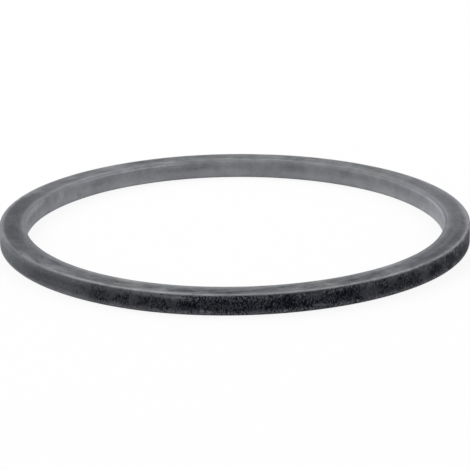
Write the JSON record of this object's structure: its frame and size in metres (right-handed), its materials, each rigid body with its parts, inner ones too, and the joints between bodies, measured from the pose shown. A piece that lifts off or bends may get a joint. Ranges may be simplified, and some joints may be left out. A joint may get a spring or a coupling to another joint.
{
  "type": "compression seal",
  "caption": "Flat one-piece rubber sealing ring with a rectangular section and softened edges, squeezed between the two flanges of a basin or shower waste.",
  "frame": {"origin": "centre of the ring on its underside, where it lies on a surface", "axes": "+Z along the ring's axis, out of the top face; the ring lies in X and Y, the same all round"},
  "size_m": [0.1012, 0.1012, 0.0043],
  "materials": {
    "rubber": "matte black rubber with a greyish bloom on the faces and paler worn edges"
  },
  "bodies": {
    "root": {"seal_ring": "rubber"}
  },
  "joints": []
}
